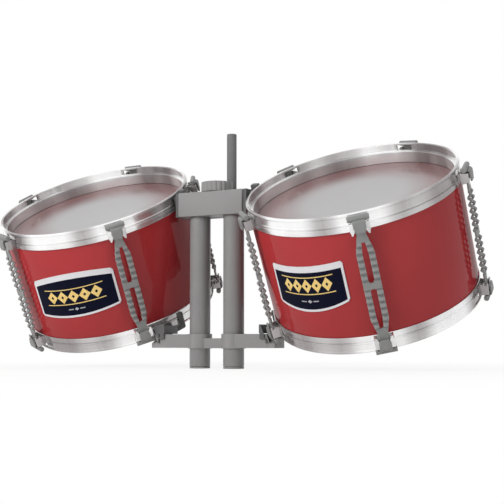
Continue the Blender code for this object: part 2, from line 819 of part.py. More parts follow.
def knob_outline():
    """A round outline with shallow flutes, three points to a flute."""
    points = []
    for number in range(KNOB_FLUTES):
        for share, depth in ((0.0, 0.0), (0.4, 0.0), (0.7, KNOB_FLUTE_DEPTH)):
            turn = math.tau * (number + share) / KNOB_FLUTES
            radius = KNOB_RADIUS - depth
            points.append((radius * math.cos(turn), radius * math.sin(turn)))
    return points


def clamp_knob():
    low = BLOCK_TOP + FIT
    knob = plate("clamp_knob", knob_outline(), 0, KNOB_HEIGHT, STAND_GREY)
    knob.location.z = low
    cut(
        knob,
        cylinder(
            "knob_bore",
            STUD_RADIUS + FIT,
            (0, 0, BLOCK_TOP - KNOB_HEIGHT),
            (0, 0, low + STUD_IN_KNOB + FIT),
        ),
    )
    cylinder(
        "knob_stud",
        STUD_RADIUS,
        (0, 0, BLOCK_TOP - STUD_IN_BLOCK),
        (0, 0, low + STUD_IN_KNOB),
        surface=SCREW_STEEL,
    )


def cymbal_rod():
    edge = ROD_RADIUS * 0.12
    rod = turned(
        "cymbal_rod",
        [
            (0, 0),
            (ROD_RADIUS - edge, 0),
            (ROD_RADIUS, -edge),
            (ROD_RADIUS, edge - ROD_LENGTH),
            (ROD_RADIUS - edge, -ROD_LENGTH),
            (0, -ROD_LENGTH),
        ],
        POST_STEPS,
        ROD_GREY,
    )
    rod.location = (ROD_X, ROD_Y, ROD_TOP)


def rod_lock_screw():
    """A thumb screw that presses on the rod from behind."""
    tip = ROD_RADIUS + FIT
    seat = ROD_RADIUS + BORE_PLAY + BOSS_WALL + LOCK_GAP
    screw = turned(
        "rod_lock_screw",
        [
            (0, seat + LOCK_HEAD_LENGTH),
            (LOCK_HEAD_RADIUS, seat + LOCK_HEAD_LENGTH),
            (LOCK_HEAD_RADIUS, seat),
            (LOCK_SCREW_RADIUS, seat),
            (LOCK_SCREW_RADIUS, tip),
            (0, tip),
        ],
        SMALL_STEPS,
        CLIP_GREY,
    )
    screw.matrix_world = Matrix.Translation((ROD_X, ROD_Y, BLOCK_MIDDLE)) @ Matrix.Rotation(
        -math.pi / 2, 4, "X"
    )


def toward(side, angle):
    """The direction across a drum at an angle from the line towards the other drum."""
    _, level, slope = drum_axes(side)
    return -SIDES[side] * math.cos(angle) * level + math.sin(angle) * slope


def upper_clip(side, frame):
    """A plate on the block's end with a jaw against the batter hoop, hooked under its lip."""
    sign = SIDES[side]
    near = sign * (BLOCK_LENGTH / 2 + FIT)
    far = sign * (BLOCK_LENGTH / 2 + CLIP_PLATE)
    half = CLIP_PLATE_DEPTH / 2
    clip = box(
        side + "_upper_clip",
        (min(near, far), -half, BLOCK_BOTTOM),
        (max(near, far), half, BLOCK_TOP),
        CLIP_GREY,
    )
    outer = RIM_RADIUS + CLIP_REACH - CLIP_PLATE / 2
    jaw = box(
        side + "_upper_jaw",
        (SHELL_RADIUS, -CLIP_WIDTH / 2, -HOOP_HEIGHT - FIT - CLIP_COVER),
        (outer, CLIP_WIDTH / 2, -CLIP_JAW_DROP),
    )
    behind, far_end = sorted((-sign * CLIP_WIDTH / 8, -sign * (CLIP_WIDTH / 2 - FIT)))
    cap = box(
        side + "_upper_cap",
        (RIM_RADIUS + 2 * FIT, behind, -CLIP_WIDTH / 4),
        (outer - FIT, far_end, CLIP_CAP_RISE),
    )
    axis, _, _ = drum_axes(side)
    out = toward(side, 0)
    place = (
        Matrix.Translation(rim_centre(side))
        @ Matrix((out, axis.cross(out), axis)).transposed().to_4x4()
    )
    for block in (jaw, cap):
        block.matrix_world = place
        join(clip, block)
    cut(clip, hoop_room(side + "_upper_room", frame, Matrix()))
    height = BLOCK_BOTTOM + CLIP_SCREW_RISE
    hole = CLIP_SCREW_RADIUS + FIT
    cut(clip, cylinder(side + "_clip_hole", hole, (near * 0.9, 0, height), (far * 1.1, 0, height)))
    seat = CLIP_PLATE + FIT
    screw = turned(
        side + "_clip_screw",
        [
            (0, seat + CLIP_SCREW_HEAD),
            (CLIP_SCREW_HEAD_RADIUS, seat + CLIP_SCREW_HEAD),
            (CLIP_SCREW_HEAD_RADIUS, seat),
            (CLIP_SCREW_RADIUS, seat),
            (CLIP_SCREW_RADIUS, -CLIP_SCREW_DEPTH),
            (0, -CLIP_SCREW_DEPTH),
        ],
        SMALL_STEPS,
        SCREW_STEEL,
    )
    screw.matrix_world = Matrix.Translation((sign * BLOCK_LENGTH / 2, 0, height)) @ Matrix.Rotation(
        sign * math.pi / 2, 4, "Y"
    )


def cradle(name, side, angle=CRADLE_ANGLE, half_angle=CRADLE_HALF_ANGLE, rise=CRADLE_RISE, room=0.0):
    """A piece of ring with a box section, wrapped round the outside of the resonant hoop."""
    inner = RIM_RADIUS - RIM_WALL - FIT - CLIP_LEG - room
    outer = RIM_RADIUS + FIT + CRADLE_WALL + room
    low = -DRUM_HEIGHT - FIT - CLIP_COVER - room
    high = -DRUM_HEIGHT + rise + room
    half_angle += room / inner
    bm = bmesh.new()
    section = [bm.verts.new((r, 0, z)) for r, z in ((inner, low), (outer, low), (outer, high), (inner, high))]
    start = bm.faces.new(section)
    turn = Matrix.Rotation(-half_angle, 4, "Z")
    bmesh.ops.transform(bm, matrix=turn, verts=bm.verts)
    bmesh.ops.spin(
        bm,
        geom=[start, *start.edges, *start.verts],
        cent=(0, 0, 0),
        axis=(0, 0, 1),
        angle=2 * half_angle,
        steps=CRADLE_STEPS,
    )
    bmesh.ops.holes_fill(bm, edges=[edge for edge in bm.edges if edge.is_boundary])
    bmesh.ops.recalc_face_normals(bm, faces=bm.faces)
    made = new_object(name, mesh_of(bm, name))
    axis, _, _ = drum_axes(side)
    out = toward(side, angle)
    made.matrix_world = (
        Matrix.Translation(rim_centre(side))
        @ Matrix((out, axis.cross(out), axis)).transposed().to_4x4()
    )
    return made


def across_box(name, sign, x_low, x_high, low, high, surface=None):
    """A box whose X limits are given as distances from the middle, on the side that sign gives."""
    left, right = sorted((sign * x_low, sign * x_high))
    return box(name, (left, *low), (right, *high), surface)


def lower_clip(side, frame):
    """A cradle under the resonant hoop with a claw up its side, on a saddle with two prongs in front."""
    sign = SIDES[side]
    front = -ARM_DEPTH / 2 - FIT
    floor = BRACKET_TOP + FIT
    outer = ARM_REACH - SADDLE_INSET
    inner = outer - SADDLE_LENGTH
    clip = across_box(
        side + "_lower_clip",
        sign,
        inner,
        outer,
        (front - PRONG_THICKNESS, floor),
        (SADDLE_BACK, floor + SADDLE_HEIGHT),
        CLIP_GREY,
    )
    join(clip, cradle(side + "_cradle", side))
    join(clip, cradle(side + "_claw", side, CLAW_ANGLE, CLAW_HALF_ANGLE, CLAW_RISE, -CLAW_INSET))
    start = outer - PRONG_GAP / 4
    for number, (width, drop) in enumerate(zip(PRONG_WIDTHS, PRONG_DROPS)):
        prong = across_box(
            side + "_prong_" + str(number),
            sign,
            start - width,
            start,
            (front - PRONG_THICKNESS + PRONG_GAP / 8, BRACKET_TOP - drop),
            (front, floor + SADDLE_HEIGHT / 2),
        )
        join(clip, prong)
        start -= width + PRONG_GAP
    low = BRACKET_TOP - min(PRONG_DROPS)
    web = across_box(
        side + "_prong_web",
        sign,
        start + PRONG_WIDTHS[1],
        start + PRONG_WIDTHS[1] + 3 * PRONG_GAP,
        (front - PRONG_THICKNESS + PRONG_GAP / 4, low + PRONG_GAP / 4),
        (front - PRONG_GAP / 4, low + PRONG_WEB),
    )
    join(clip, web)
    cut(clip, hoop_room(side + "_lower_room", frame, resonant_side()))
    cut(clip, ear_room(side + "_clip_ear_room", frame, resonant_side(), 2 * max(PRONG_DROPS), PRONG_GAP))


def lower_bracket(frames):
    """Two collars on the posts, a link between them and an arm out to each drum."""
    half = POST_SPACING / 2
    bracket = box(
        "lower_bracket",
        (-half, -LINK_DEPTH / 2, ARM_BOTTOM),
        (half, LINK_DEPTH / 2, ARM_BOTTOM + LINK_HEIGHT),
        STAND_GREY,
    )
    screw_height = BRACKET_TOP - ARM_HEIGHT / 2
    for side, sign in SIDES.items():
        arm = across_box(
            side + "_arm",
            sign,
            half,
            ARM_REACH,
            (-ARM_DEPTH / 2, ARM_BOTTOM + FIT),
            (ARM_DEPTH / 2, BRACKET_TOP - FIT),
        )
        join(bracket, arm)
        x = sign * half
        collar = cylinder(
            side + "_collar",
            COLLAR_RADIUS,
            (x, 0, ARM_BOTTOM - FIT),
            (x, 0, BRACKET_TOP),
            POST_STEPS,
        )
        join(bracket, collar)
    for side, sign in SIDES.items():
        x = sign * half
        bore = cylinder(
            side + "_collar_bore",
            POST_RADIUS + FIT,
            (x, 0, 0),
            (x, 0, BRACKET_TOP + ARM_HEIGHT),
            POST_STEPS,
        )
        cut(bracket, bore)
        hole = cylinder(
            side + "_bracket_screw_hole",
            BRACKET_SCREW_RADIUS + BORE_PLAY,
            (x, POST_RADIUS / 2, screw_height),
            (x, 2 * COLLAR_RADIUS, screw_height),
        )
        cut(bracket, hole)
        cut(bracket, hoop_room(side + "_arm_room", frames[side], resonant_side()))
        cut(bracket, ear_room(side + "_arm_ear_room", frames[side], resonant_side()))
        cut(bracket, cradle(side + "_cradle_room", side, room=FIT))
        seat = COLLAR_RADIUS + FIT
        screw = turned(
            side + "_bracket_screw",
            [
                (0, seat + BRACKET_SCREW_HEAD),
                (BRACKET_SCREW_HEAD_RADIUS, seat + BRACKET_SCREW_HEAD),
                (BRACKET_SCREW_HEAD_RADIUS, seat),
                (BRACKET_SCREW_RADIUS, seat),
                (BRACKET_SCREW_RADIUS, POST_RADIUS - BRACKET_SCREW_DEPTH),
                (0, POST_RADIUS - BRACKET_SCREW_DEPTH),
            ],
            SMALL_STEPS,
            SCREW_STEEL,
        )
        screw.matrix_world = Matrix.Translation((x, 0, screw_height)) @ Matrix.Rotation(
            -math.pi / 2, 4, "X"
        )


def main():
    hoop_data = hoop_mesh()
    strap_data = strap_mesh()
    frames = {}
    for side in SIDES:
        frames[side] = drum_frame(side)
        drum(side, frames[side], hoop_data, strap_data)
        post(side)
        upper_clip(side, frames[side])
        lower_clip(side, frames[side])
    mount_block()
    lower_bracket(frames)
    clamp_knob()
    cymbal_rod()
    rod_lock_screw()
    for obj in PARTS.objects:
        if obj.type == "MESH":
            smooth(obj)


main()
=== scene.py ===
"""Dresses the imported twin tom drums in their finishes, on a plain pale stage."""

import json
import math

import bmesh
import bpy
from bpy.props import FloatProperty, FloatVectorProperty, IntProperty, PointerProperty
from mathutils import Matrix, Vector


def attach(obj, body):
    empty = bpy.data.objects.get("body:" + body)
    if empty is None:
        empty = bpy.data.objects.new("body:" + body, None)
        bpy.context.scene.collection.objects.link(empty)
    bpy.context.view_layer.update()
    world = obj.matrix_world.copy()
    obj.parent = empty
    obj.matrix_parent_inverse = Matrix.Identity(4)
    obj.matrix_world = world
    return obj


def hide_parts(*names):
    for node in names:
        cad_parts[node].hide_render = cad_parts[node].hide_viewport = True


bl_info = {
    "name": "Twin tom drums",
    "version": (1, 0, 0),
    "blender": (4, 5, 0),
    "location": "View3D > Sidebar > Toms",
    "description": "Makes each visible piece of a pair of small tom drums on a twin-tube mount",
    "category": "Object",
}

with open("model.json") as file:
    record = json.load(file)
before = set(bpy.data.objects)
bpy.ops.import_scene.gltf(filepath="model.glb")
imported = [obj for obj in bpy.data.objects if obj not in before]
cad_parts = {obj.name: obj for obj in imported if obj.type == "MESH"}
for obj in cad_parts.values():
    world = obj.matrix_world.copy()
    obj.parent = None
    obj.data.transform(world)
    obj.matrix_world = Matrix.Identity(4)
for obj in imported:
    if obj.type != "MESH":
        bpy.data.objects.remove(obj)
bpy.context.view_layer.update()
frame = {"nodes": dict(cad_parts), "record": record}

MM = 0.001
STAND = "drums_and_mount"
FINISH = "_finish"
SIDES = {"left": -1, "right": 1}
LUG_STEP = math.tau / 5
FRONT_LUG = {"left": math.radians(-47.4), "right": math.radians(-65.0)}
BADGE_HALF_HEIGHT = 20.25 * MM
BADGE_HALF_ANGLE = {"left": math.radians(26.6), "right": math.radians(22.5)}
BADGE_RISE = {"left": 7.0 * MM, "right": 5.0 * MM}
BADGE_RAISED = {"left": -2.0 * MM, "right": 4.0 * MM}
BADGE_TURN = {"left": math.radians(2.5), "right": math.radians(1.2)}
BADGE_TOP_BOW = {"left": 6.0 * MM, "right": -2.0 * MM}
BADGE_BOTTOM_BOW = {"left": 4.0 * MM, "right": 8.5 * MM}


def length(name, description, default):
    return FloatProperty(name=name, description=description, default=default, min=0.0, unit="LENGTH", precision=5)


def colour(name, description, default):
    return FloatVectorProperty(
        name=name, description=description, default=default, size=3, min=0.0, max=1.0, subtype="COLOR"
    )


class DrumSizes(bpy.types.PropertyGroup):
    """Sizes of both drums, in metres."""

    shell_radius: length("Shell radius", "Outside radius of the shell", 0.1062)
    shell_wall: length("Shell wall", "Thickness of the shell", 0.0024)
    drum_height: length("Drum height", "From one rim to the other", 0.1400)
    rim_overhang: length("Rim overhang", "How far the hoop stands out past the shell", 0.0013)
    rim_wall: length("Rim wall", "Thickness of the hoop's upper wall", 0.0032)
    hoop_height: length("Hoop height", "Height of the whole hoop", 0.0175)
    ledge_drop: length("Ledge drop", "From the rim down to the ledge that presses on the head", 0.0078)
    head_drop: length("Head drop", "From the rim down to the film", 0.0200)
    ear_width: length("Ear width", "Width of a hoop's ear", 0.0190)
    ear_wall: length("Ear wall", "Thickness of an ear's walls", 0.0018)
    strap_width: length("Strap width", "Width of a strap over its slots", 0.0172)
    strap_thickness: length("Strap thickness", "Thickness of a strap", 0.0016)
    strap_wave: length("Strap wave", "How far the legs of a strap bow out and in", 0.0014)
    bar_width: length("Bar width", "Width of the bar across each hook", 0.0205)
    bar_radius: length("Bar radius", "Radius of the bar across each hook", 0.0027)
    round_steps: IntProperty(name="Round steps", description="Facets round a drum", default=160, min=40)


class StandSizes(bpy.types.PropertyGroup):
    """Sizes of the posts, the block and the rod, in metres."""

    post_diameter: length("Post diameter", "Outside diameter of both posts", 0.0220)
    post_spacing: length("Post spacing", "Between the middles of the posts", 0.0410)
    block_length: length("Block length", "Length of the mount block", 0.0780)
    block_depth: length("Block depth", "Depth of the mount block", 0.0320)
    block_height: length("Block height", "Height of the mount block", 0.0259)
    block_top: length("Block top", "Height of the block's top over the posts' feet", 0.1866)
    knob_radius: length("Knob radius", "Radius over the knob's ribs", 0.0169)
    knob_height: length("Knob height", "Height of the knob", 0.0104)
    rod_radius: length("Rod radius", "Radius of the cymbal rod", 0.0053)
    rod_length: length("Rod length", "Length of the cymbal rod", 0.1560)


class Colours(bpy.types.PropertyGroup):
    """Colours of the finishes, in linear light."""

    wrap: colour("Wrap", "Glossy wrap of the shells", (0.41, 0.036, 0.040))
    hoop: colour("Hoop", "Silvered plastic of the hoops", (0.76, 0.76, 0.76))
    film: colour("Film", "Middle of the heads", (0.34, 0.33, 0.335))
    # Painted show-through: the red of the shell's inside, seen through the film, put into the film's colour near its
    # rim.
    film_painted_show_through: colour("Film edge", "What shows through the film near the shell", (0.185, 0.072, 0.072))
    strap: colour("Strap", "Moulded straps", (0.24, 0.245, 0.24))
    stand: colour("Stand", "Moulded block, knob and bracket", (0.262, 0.258, 0.257))
    post: colour("Post", "Painted tubes", (0.245, 0.242, 0.242))
    clip: colour("Clip", "Dark moulded clips", (0.10, 0.10, 0.10))
    rod: colour("Rod", "Dull painted rod", (0.17, 0.17, 0.17))
    screw: colour("Screw", "Zinc on the screws", (0.45, 0.45, 0.46))
    badge_field: colour("Badge field", "Dark field of the name plates", (0.004, 0.005, 0.016))
    badge_border: colour("Badge border", "Pale border of the name plates", (0.72, 0.72, 0.74))
    badge_gold: colour("Badge gold", "Pattern on the name plates", (0.80, 0.50, 0.075))


class StageLook(bpy.types.PropertyGroup):
    """Light and backdrop."""

    key_power: FloatProperty(name="Key light", description="Power of the main soft light", default=26.0, min=0.0, unit="POWER")
    fill_power: FloatProperty(name="Fill light", description="Power of the light opposite", default=4.0, min=0.0, unit="POWER")
    top_power: FloatProperty(name="Top light", description="Power of the overhead light", default=6.0, min=0.0, unit="POWER")
    ambient: FloatProperty(name="Ambient", description="Strength of the light from all round", default=0.16, min=0.0)


def sizes():
    return bpy.context.scene.tom_sizes


def stand_sizes():
    return bpy.context.scene.tom_stand


def colours():
    return bpy.context.scene.tom_colours


# Finishes


class Value:
    """The output of a node. Each Python operator on it adds one Math node."""

    def __init__(self, finish, socket):
        self.finish = finish
        self.socket = socket

    def math(self, operation, *values):
        return self.finish.node("ShaderNodeMath", {"operation": operation}, dict(enumerate(values)))

    def __add__(self, other):
        return self.math("ADD", self, other)

    __radd__ = __add__

    def __sub__(self, other):
        return self.math("SUBTRACT", self, other)

    def __rsub__(self, other):
        return self.math("SUBTRACT", other, self)

    def __mul__(self, other):
        return self.math("MULTIPLY", self, other)

    __rmul__ = __mul__

    def __truediv__(self, other):
        return self.math("DIVIDE", self, other)

    def __gt__(self, other):
        return self.math("GREATER_THAN", self, other)

    def __lt__(self, other):
        return self.math("LESS_THAN", self, other)

    def __abs__(self):
        return self.math("ABSOLUTE", self)

    def __mod__(self, other):
        return self.math("FLOORED_MODULO", self, other)


class Finish:
    """A material whose nodes are all added by one method."""

    def __init__(self, slot, colour, **constants):
        self.material = bpy.data.materials.new(slot + FINISH)
        self.material.use_nodes = True
        self.nodes = self.material.node_tree.nodes
        self.links = self.material.node_tree.links
        self.shader = self.nodes["Principled BSDF"]
        self.shader.inputs["Base Color"].default_value = (*colour, 1.0)
        self.material.diffuse_color = (*colour, 1.0)
        for socket, value in constants.items():
            self.shader.inputs[socket.replace("_", " ")].default_value = value

    def put(self, socket, value):
        if isinstance(value, Value):
            self.links.new(value.socket, socket)
        else:
            socket.default_value = value

    def node(self, kind, settings=None, values=None, output=0):
        """Adds a node: its settings first, then the values or links of its sockets."""
        made = self.nodes.new(kind)
        for key, value in (settings or {}).items():
            if key == "stops":
                for number, (place, shade) in enumerate(value):
                    stop = made.color_ramp.elements[number] if number < 2 else made.color_ramp.elements.new(place)
                    stop.position = place
                    stop.color = (*shade, 1.0)
            else:
                setattr(made, key, value)
        for key, value in (values or {}).items():
            self.put(made.inputs[key], value)
        return Value(self, made.outputs[output])

    def drive(self, socket, value):
        self.put(self.shader.inputs[socket], value)

    def place(self, attribute="made"):
        """The piece's own space, as it was before the piece was set in its place."""
        return self.node("ShaderNodeAttribute", {"attribute_name": attribute}, output=1)

    def parts(self, vector):
        split = self.node("ShaderNodeSeparateXYZ", values={0: vector}).socket.node
        return [Value(self, output) for output in split.outputs]

    def stretched(self, vector, scale):
        return self.node("ShaderNodeVectorMath", {"operation": "MULTIPLY"}, {0: vector, 1: scale})

    def noise(self, vector, scale, detail=3.0, rough=0.5):
        return self.node(
            "ShaderNodeTexNoise",
            values={"Vector": vector, "Scale": scale, "Detail": detail, "Roughness": rough},
        )

    def blend(self, mask, low, high):
        """A colour between two colours, as a mask says."""
        return self.node(
            "ShaderNodeMix", {"data_type": "RGBA"}, {"Factor": mask, 6: low, 7: high}, output=2
        )

    def relief(self, height, distance, strength=1.0):
        self.drive(
            "Normal",
            self.node("ShaderNodeBump", values={"Height": height, "Distance": distance, "Strength": strength}),
        )


def shade(colour, factor):
    return (*[min(1.0, channel * factor) for channel in colour], 1.0)


def wrap_finish():
    """Glossy red wrap: faint clouding in the red, and the long ripples of a sheet rolled round a shell."""
    tint = colours().wrap
    finish = Finish("red_wrap", tint, Roughness=0.45, Specular_IOR_Level=0.0, Coat_Weight=0.38, Coat_Roughness=0.05)
    place = finish.place()
    cloud = finish.noise(place, 18.0, 2.0)
    finish.drive("Base Color", finish.blend(cloud, shade(tint, 0.90), shade(tint, 1.08)))
    grain = finish.noise(place, 900.0, 2.0)
    finish.drive("Roughness", 0.24 + grain * 0.12)
    ripple = finish.noise(finish.stretched(place, (1.0, 1.0, 0.12)), 55.0, 1.0)
    finish.relief(ripple + grain * 0.02, 0.00012, 0.5)
    return finish.material


def hoop_finish():
    """Silvered plastic: a mirror with the fine upright lines of a polished ring, and broad light and dark patches of
    painted reflection in its colour.
    """
    tint = colours().hoop
    finish = Finish("silver_hoop", tint, Metallic=0.62, Roughness=0.12)
    place = finish.place()
    lines = finish.noise(finish.stretched(place, (1.0, 1.0, 0.03)), 420.0, 2.0)
    smear = finish.noise(place, 60.0, 3.0)
    # Painted reflection: broad dark and bright patches in the base colour stand in for the surroundings a mirror
    # shows.
    painted_reflection_noise = finish.noise(finish.stretched(place, (1.0, 1.0, 0.25)), 17.0, 1.0)
    dark = (0.38 * tint[0], 0.34 * tint[1], 0.34 * tint[2], 1.0)
    painted_reflection_patches = finish.blend((painted_reflection_noise - 0.36) * 5.0, dark, shade(tint, 1.35))
    finish.drive("Base Color", finish.blend(lines * 0.3, painted_reflection_patches, shade(tint, 1.0)))
    finish.drive("Roughness", 0.07 + smear * 0.09 + lines * 0.04)
    finish.relief(lines + smear * 0.4, 0.00004, 0.6)
    return finish.material


def film_finish():
    """Film with a soft strong shine; the red of the shell seen through it is painted into its colour all round near
    the edge.
    """
    tint, edge = colours().film, colours().film_painted_show_through
    finish = Finish(
        "drum_head", tint, Roughness=0.35, Specular_IOR_Level=0.0,
        Coat_Weight=1.0, Coat_Roughness=0.17, Coat_IOR=2.3,
    )
    place = finish.place()
    haze = finish.noise(place, 22.0, 3.0)
    span = finish.node(
        "ShaderNodeVectorMath", {"operation": "LENGTH"}, {0: finish.stretched(place, (1.0, 1.0, 0.0))}, 1
    )
    # Painted show-through: towards the rim the film's colour turns to the red of the shell behind it, on every side
    # alike.
    rim = finish.node(
        "ShaderNodeMapRange", {"interpolation_type": "SMOOTHSTEP"},
        {"Value": span + haze * 0.006, "From Min": 0.046, "From Max": 0.091},
    )
    middle = finish.blend(haze, shade(tint, 0.96), shade(tint, 1.04))
    finish.drive("Base Color", finish.blend(rim, middle, (*edge, 1.0)))
    finish.drive("Roughness", 0.30 + haze * 0.10)
    finish.relief(haze, 0.00003, 0.3)
    return finish.material


def moulded_finish(name, tint, roughness, speckle=0.10, coat=0.0):
    """Moulded plastic: spark-eroded grain, slow flow marks and paler, rubbed edges."""
    finish = Finish(name, tint, Roughness=roughness, Coat_Weight=coat, Coat_Roughness=0.2)
    place = finish.place()
    flow = finish.noise(finish.stretched(place, (1.0, 1.0, 0.3)), 35.0, 3.0)
    grain = finish.noise(place, 1400.0, 3.0, 0.6)
    geometry = finish.node("ShaderNodeNewGeometry", output=7)
    rubbed = finish.node(
        "ShaderNodeValToRGB", {"stops": [(0.52, (0, 0, 0)), (0.62, (1, 1, 1))]}, {0: geometry}
    )
    body = finish.blend(flow, shade(tint, 1 - speckle), shade(tint, 1 + speckle))
    finish.drive("Base Color", finish.blend(rubbed * 0.35, body, shade(tint, 1.35)))
    finish.drive("Roughness", roughness - 0.06 + grain * 0.12)
    finish.relief(grain, 0.00003, 0.5)
    return finish.material


def metal_finish(name, tint, roughness, metallic, along=(1.0, 1.0, 0.03)):
    """Drawn or plated metal with fine lines along it."""
    finish = Finish(name, tint, Roughness=roughness, Metallic=metallic)
    place = finish.place()
    lines = finish.noise(finish.stretched(place, along), 700.0, 2.0)
    stain = finish.noise(place, 40.0, 4.0)
    finish.drive("Base Color", finish.blend(stain, shade(tint, 0.88), shade(tint, 1.10)))
    finish.drive("Roughness", roughness - 0.05 + lines * 0.07 + stain * 0.05)
    finish.relief(lines, 0.00002, 0.5)
    return finish.material


def badge_finish(side):
    """A printed plate: pale border, dark field, a row of gold lozenges between two gold lines."""
    tints = colours()
    finish = Finish("badge_" + side, tints.badge_field, Roughness=0.5, Specular_IOR_Level=0.05)
    across, height, _ = finish.parts(finish.place("plate"))
    reach = BADGE_HALF_ANGLE[side] * sizes().shell_radius
    bow = 1.0 - across * across
    top = BADGE_HALF_HEIGHT + bow * BADGE_TOP_BOW[side] - height
    low = height + BADGE_HALF_HEIGHT + bow * BADGE_BOTTOM_BOW[side]
    ends = reach - abs(across) * reach
    field = (top > 6.4 * MM) * (low > 2.4 * MM) * (ends > 2.4 * MM)
    line = across * reach
    middle = height + bow * BADGE_BOTTOM_BOW[side] * 0.4 - 1.5 * MM
    under = height + bow * BADGE_BOTTOM_BOW[side] * 0.7 + 12.0 * MM
    pitch = reach * 0.27
    cell = (line + 20.0 * pitch + pitch / 2) % pitch - pitch / 2
    spread = abs(cell) / (pitch * 0.50) + abs(middle) / (7.2 * MM)
    lozenge = spread < 1.0
    heart = spread < 0.28
    span = abs(line) < pitch * 2.5
    rule = (abs(abs(middle) - 8.6 * MM) < 0.5 * MM) * (abs(line) < reach * 0.72)
    gold = ((lozenge - heart) * span).math("MAXIMUM", (lozenge - heart) * span, rule) * field
    sheen = finish.noise(finish.place("plate"), 30.0, 2.0)
    metal = finish.blend(sheen, shade(tints.badge_gold, 0.85), shade((0.95, 0.78, 0.38), 1.0))
    ground = finish.blend(field, (*tints.badge_border, 1.0), (*tints.badge_field, 1.0))
    drop = (abs(line) / (2.6 * MM) + abs(under) / (1.9 * MM) < 1.0) * field
    bars = (abs(abs(line) - 7.0 * MM) < 3.0 * MM) * (abs(under) < 0.55 * MM) * field
    ground = finish.blend(drop + bars, ground, (0.42, 0.43, 0.46, 1.0))
    finish.drive("Base Color", finish.blend(gold, ground, metal))
    finish.drive("Roughness", 0.44 + sheen * 0.12)
    return finish.material


# Shaping


def turned(points, steps, easing=0.0, open_ends=False):
    """A ring or a solid turned about Z from a profile of (radius, height), its corners eased first."""
    bm = bmesh.new()
    verts = [bm.verts.new((radius, 0, height)) for radius, height in points]
    pairs = list(zip(verts, verts[1:]))
    if not open_ends:
        pairs.append((verts[-1], verts[0]))
    for pair in pairs:
        bm.edges.new(pair)
    if easing:
        corners = [vert for vert in verts if vert.co.x > 0.0001 and len(vert.link_edges) == 2]
        bmesh.ops.bevel(
            bm, geom=corners, offset=easing, offset_type="OFFSET", segments=3, profile=0.5,
            affect="VERTICES", clamp_overlap=True, material=-1,
        )
    bmesh.ops.spin(
        bm, geom=bm.verts[:] + bm.edges[:], cent=(0, 0, 0), axis=(0, 0, 1), angle=math.tau,
        steps=steps, use_merge=True,
    )
    bmesh.ops.remove_doubles(bm, verts=bm.verts, dist=0.000005)
    bmesh.ops.recalc_face_normals(bm, faces=bm.faces)
    return bm


def boxed(low, high, easing=0.0, segments=3):
    """A box between two corners with eased edges."""
    low, high = Vector(low), Vector(high)
    bm = bmesh.new()
    bmesh.ops.create_cube(bm, size=1.0)
    bmesh.ops.scale(bm, vec=high - low, verts=bm.verts)
    bmesh.ops.translate(bm, vec=(low + high) / 2, verts=bm.verts)
    if easing:
        ease(bm, easing, segments)
    return bm


def ease(bm, width, segments=3, angle=math.radians(30)):
    """Bevels the edges that turn by more than an angle."""
    sharp = [edge for edge in bm.edges if edge.is_manifold and edge.calc_face_angle(0.0) > angle]
    bmesh.ops.bevel(
        bm, geom=sharp, offset=width, offset_type="OFFSET", segments=segments, profile=0.5,
        affect="EDGES", clamp_overlap=True, material=-1,
    )
    return bm


def slab(outline, low, high, easing=0.0, segments=2):
    """A flat outline of (x, y), raised from low to high."""
    bm = bmesh.new()
    face = bm.faces.new([bm.verts.new((x, y, low)) for x, y in outline])
    raised = bmesh.ops.extrude_face_region(bm, geom=[face])["geom"]
    bmesh.ops.translate(
        bm, vec=(0, 0, high - low), verts=[item for item in raised if isinstance(item, bmesh.types.BMVert)]
    )
    bmesh.ops.recalc_face_normals(bm, faces=bm.faces)
    if easing:
        ease(bm, easing, segments)
    return bm


def moved(bm, matrix):
    bmesh.ops.transform(bm, matrix=matrix, verts=bm.verts)
    return bm


def gathered(*parts):
    """One bmesh from several, which it uses up."""
    whole = bmesh.new()
    for part in parts:
        mesh = bpy.data.meshes.new("part")
        part.to_mesh(mesh)
        part.free()
        whole.from_mesh(mesh)
        bpy.data.meshes.remove(mesh)
    return whole


def turned_copies(bm, angles):
    """Copies of a bmesh at each angle about Z."""
    source = bpy.data.meshes.new("copy")
    bm.to_mesh(source)
    bm.free()
    whole = bmesh.new()
    for angle in angles:
        start = len(whole.verts)
        whole.from_mesh(source)
        whole.verts.ensure_lookup_table()
        bmesh.ops.transform(whole, matrix=Matrix.Rotation(angle, 4, "Z"), verts=whole.verts[start:])
    bpy.data.meshes.remove(source)
    return whole


def carved(bm, steps):
    """A bmesh after exact joins and cuts with others."""
    def loose(part, name):
        mesh = bpy.data.meshes.new(name)
        part.to_mesh(mesh)
        part.free()
        obj = bpy.data.objects.new(name, mesh)
        bpy.context.scene.collection.objects.link(obj)
        return obj

    body = loose(bm, "body")
    tools = []
    for operation, part in steps:
        tool = loose(part, "tool")
        tools.append(tool)
        step = body.modifiers.new("step", "BOOLEAN")
        step.operation = operation
        step.solver = "EXACT"
        step.object = tool
    bpy.context.view_layer.update()
    graph = bpy.context.evaluated_depsgraph_get()
    mesh = bpy.data.meshes.new_from_object(body.evaluated_get(graph), depsgraph=graph)
    result = bmesh.new()
    result.from_mesh(mesh)
    bpy.data.meshes.remove(mesh)
    for obj in [body, *tools]:
        bpy.data.objects.remove(obj, do_unlink=True)
    bmesh.ops.remove_doubles(result, verts=result.verts, dist=0.000002)
    return result


def piece(name, bm, material, place=None, body=STAND, nodes=(), angle=math.radians(35)):
    """Finishes a piece: its own space kept as an attribute, its place in its mesh, its ride and its nodes."""
    mesh = bpy.data.meshes.new(name)
    bm.to_mesh(mesh)
    bm.free()
    kept = mesh.attributes.new("made", "FLOAT_VECTOR", "POINT")
    for number, vert in enumerate(mesh.vertices):
        kept.data[number].vector = vert.co
    mesh.shade_smooth()
    mesh.set_sharp_from_angle(angle=angle)
    mesh.transform(place or Matrix())
    mesh.materials.append(material)
    obj = bpy.data.objects.new(name, mesh)
    bpy.context.scene.collection.objects.link(obj)
    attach(obj, body)
    if nodes:
        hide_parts(*nodes)
    return obj


